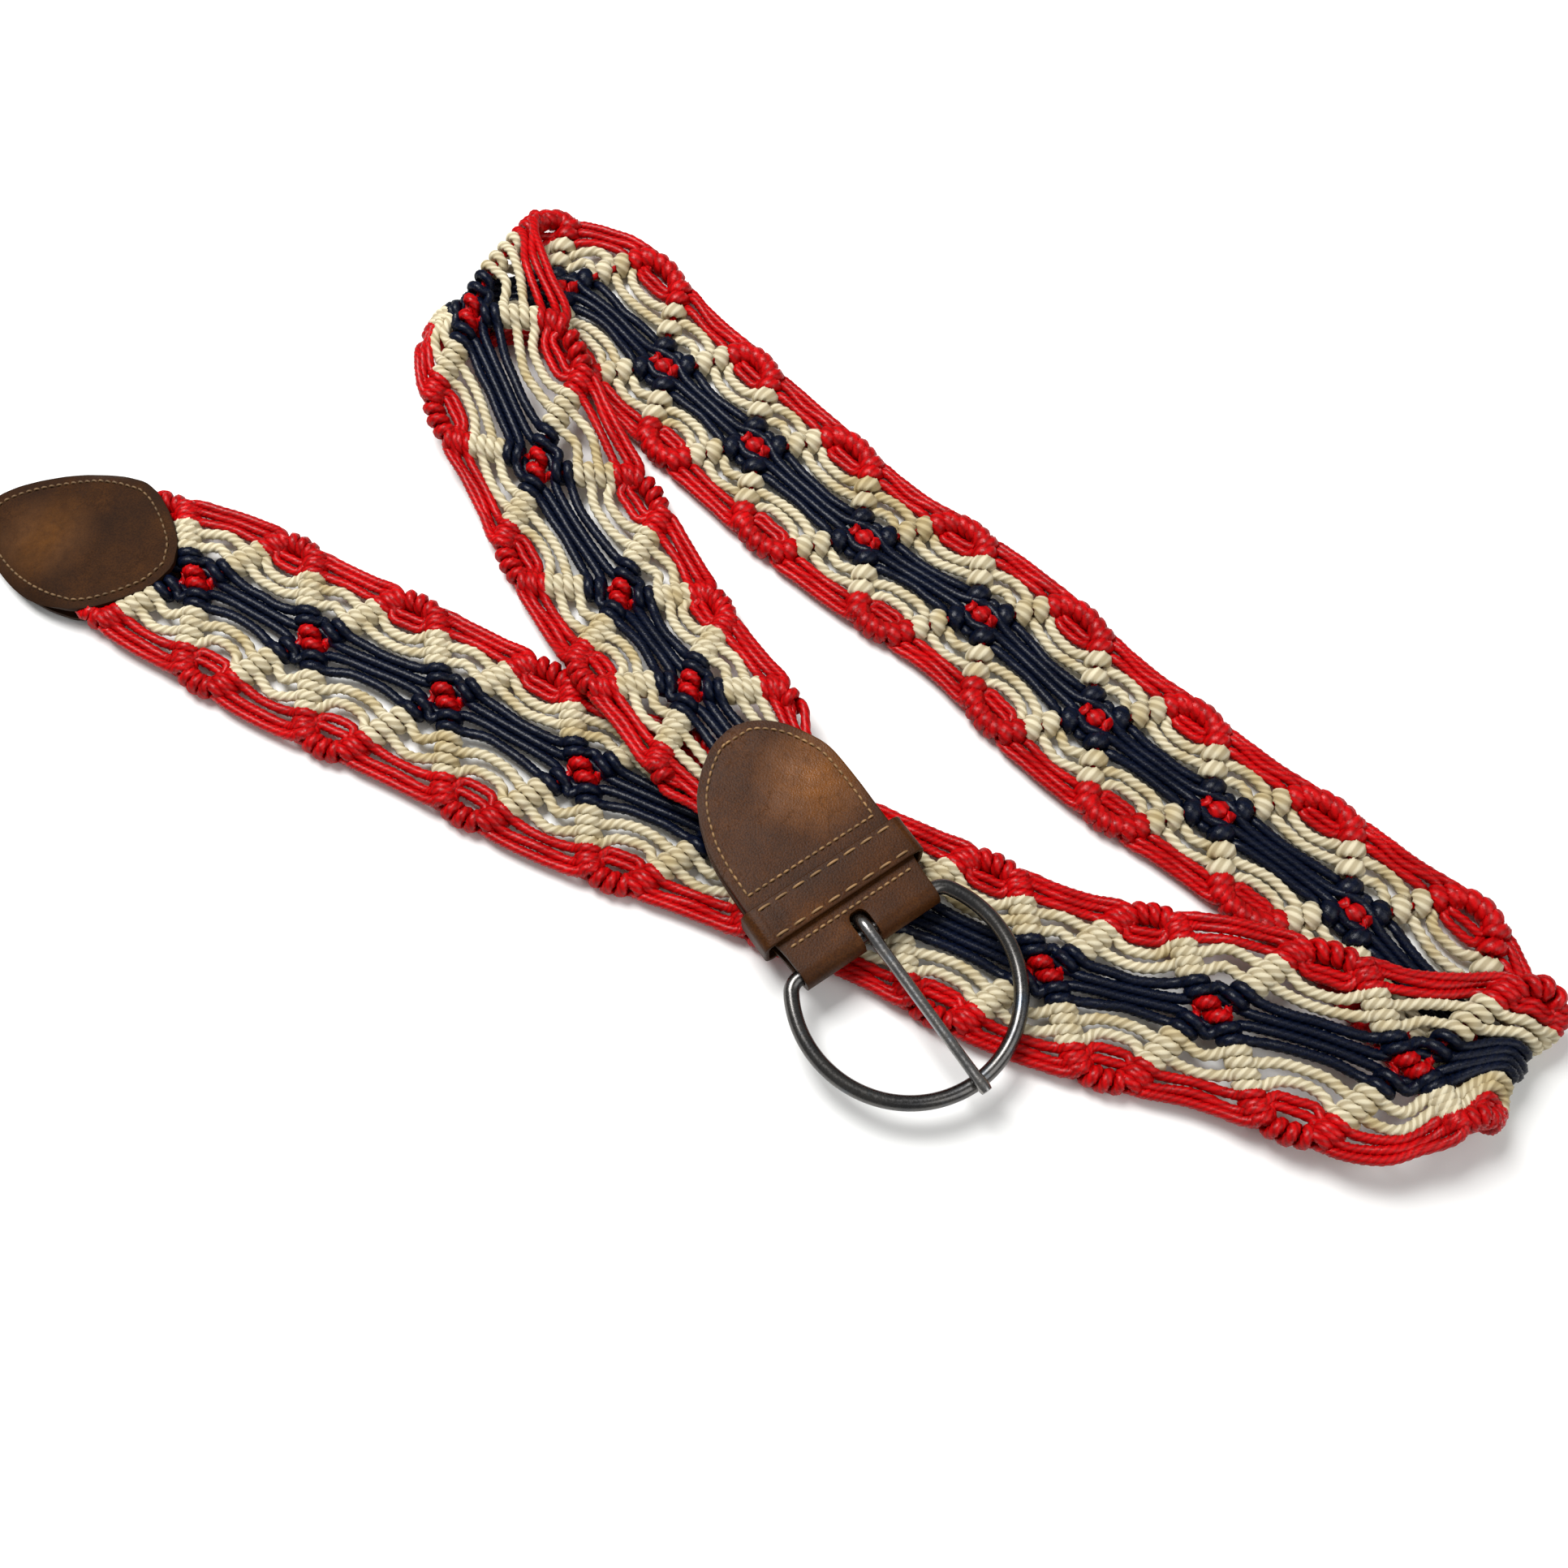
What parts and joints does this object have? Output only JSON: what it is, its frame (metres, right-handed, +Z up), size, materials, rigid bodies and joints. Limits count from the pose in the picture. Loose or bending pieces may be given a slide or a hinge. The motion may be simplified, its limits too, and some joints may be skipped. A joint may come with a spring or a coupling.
{
  "type": "macrame belt",
  "caption": "Knotted cord belt in red, cream and navy bands with a brown leather tip, leather buckle tab and keeper, and a gunmetal D ring buckle with one prong, lying folded in a Z.",
  "frame": {"origin": "centre of the underside of the leather tip, on the surface that the belt lies on", "axes": "+Z up from the surface, +X along the lay towards the fold beneath the strap, +Y away from the buckle ring"},
  "size_m": [0.4272, 0.3001, 0.0157],
  "materials": {
    "red_cord": "waxed cotton cord, slightly glossy",
    "cream_cord": "plied cotton cord, matte",
    "navy_cord": "waxed cotton cord, slightly glossy",
    "tip_leather": "matte suede like leather",
    "tab_leather": "waxed brown leather, worn to a soft gloss",
    "gunmetal": "dark gunmetal plating, polished"
  },
  "bodies": {
    "strap": {"red_edge_left": "red_cord", "red_edge_right": "red_cord", "cream_band_left": "cream_cord", "cream_band_right": "cream_cord", "navy_centre": "navy_cord", "tip_front": "tip_leather", "tip_back": "tip_leather", "buckle_tab": "tab_leather", "keeper_loop": "tab_leather"},
    "ring": {"buckle_ring": "gunmetal"},
    "tongue": {"prong": "gunmetal"}
  },
  "joints": [
    {"name": "ring_swivel", "type": "hinge", "parent": "strap", "child": "ring", "pos_m": [0.2228, -0.1208, 0.0102], "axis": [-0.8231, -0.5678, 0], "range_deg": [0, 45]},
    {"name": "prong_hinge", "type": "hinge", "parent": "ring", "child": "tongue", "pos_m": [0.2228, -0.1208, 0.0102], "axis": [-0.8231, -0.5678, 0], "range_deg": [0, 45]}
  ]
}
